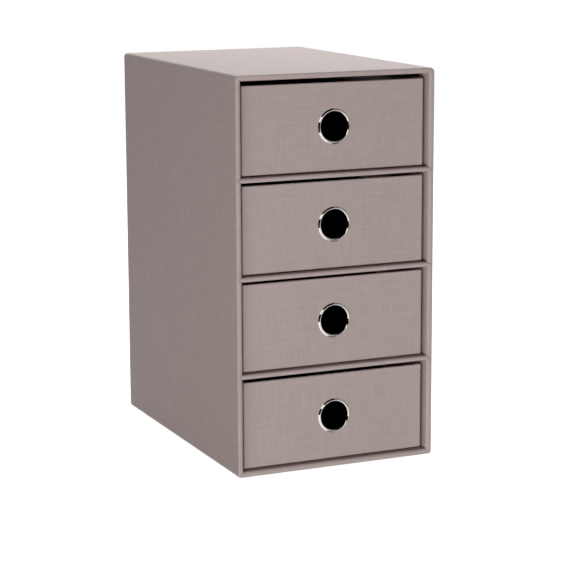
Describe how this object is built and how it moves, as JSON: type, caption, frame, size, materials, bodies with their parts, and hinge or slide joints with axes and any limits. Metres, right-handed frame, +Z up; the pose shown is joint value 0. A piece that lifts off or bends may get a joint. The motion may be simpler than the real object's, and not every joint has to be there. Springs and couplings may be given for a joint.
{
  "type": "desktop mini drawers",
  "caption": "Small upright desktop chest of sliding drawers in a paper-covered board casing, each drawer pulled by a round metal finger eyelet.",
  "frame": {"origin": "middle of the footprint, at the level that the chest stands on", "axes": "+Z up, the drawer fronts face -Y and the drawers slide out along -Y, +X to the right seen from the front"},
  "size_m": [0.135, 0.2, 0.25],
  "materials": {
    "cover_paper": "matte, with a fine woven-cloth embossing",
    "lining_paper": "matte black",
    "greyboard": "raw, uncoated",
    "eyelet_metal": "polished nickel plate"
  },
  "bodies": {
    "casing": {"left_board": "greyboard", "right_board": "greyboard", "top_board": "greyboard", "bottom_board": "greyboard", "back_board": "greyboard", "outer_cover": "cover_paper", "inner_lining": "lining_paper", "back_lining": "lining_paper", "back_sheet": "cover_paper", "base_sheet": "cover_paper", "shelf_1_board": "greyboard", "shelf_2_board": "greyboard", "shelf_3_board": "greyboard", "shelf_1_cover": "cover_paper", "shelf_2_cover": "cover_paper", "shelf_3_cover": "cover_paper"},
    "drawer_1": {"drawer_1_front": "greyboard", "drawer_1_left": "greyboard", "drawer_1_right": "greyboard", "drawer_1_back": "greyboard", "drawer_1_base": "greyboard", "drawer_1_cover": "cover_paper", "drawer_1_lining": "lining_paper", "drawer_1_eyelet": "eyelet_metal", "drawer_1_washer": "eyelet_metal"},
    "drawer_2": {"drawer_2_front": "greyboard", "drawer_2_left": "greyboard", "drawer_2_right": "greyboard", "drawer_2_back": "greyboard", "drawer_2_base": "greyboard", "drawer_2_cover": "cover_paper", "drawer_2_lining": "lining_paper", "drawer_2_eyelet": "eyelet_metal", "drawer_2_washer": "eyelet_metal"},
    "drawer_3": {"drawer_3_front": "greyboard", "drawer_3_left": "greyboard", "drawer_3_right": "greyboard", "drawer_3_back": "greyboard", "drawer_3_base": "greyboard", "drawer_3_cover": "cover_paper", "drawer_3_lining": "lining_paper", "drawer_3_eyelet": "eyelet_metal", "drawer_3_washer": "eyelet_metal"},
    "drawer_4": {"drawer_4_front": "greyboard", "drawer_4_left": "greyboard", "drawer_4_right": "greyboard", "drawer_4_back": "greyboard", "drawer_4_base": "greyboard", "drawer_4_cover": "cover_paper", "drawer_4_lining": "lining_paper", "drawer_4_eyelet": "eyelet_metal", "drawer_4_washer": "eyelet_metal"}
  },
  "joints": [
    {"name": "drawer_1_slide", "type": "slide", "parent": "casing", "child": "drawer_1", "axis": [0, -1, 0], "range_m": [0, 0.15]},
    {"name": "drawer_2_slide", "type": "slide", "parent": "casing", "child": "drawer_2", "axis": [0, -1, 0], "range_m": [0, 0.15]},
    {"name": "drawer_3_slide", "type": "slide", "parent": "casing", "child": "drawer_3", "axis": [0, -1, 0], "range_m": [0, 0.15]},
    {"name": "drawer_4_slide", "type": "slide", "parent": "casing", "child": "drawer_4", "axis": [0, -1, 0], "range_m": [0, 0.15]}
  ]
}
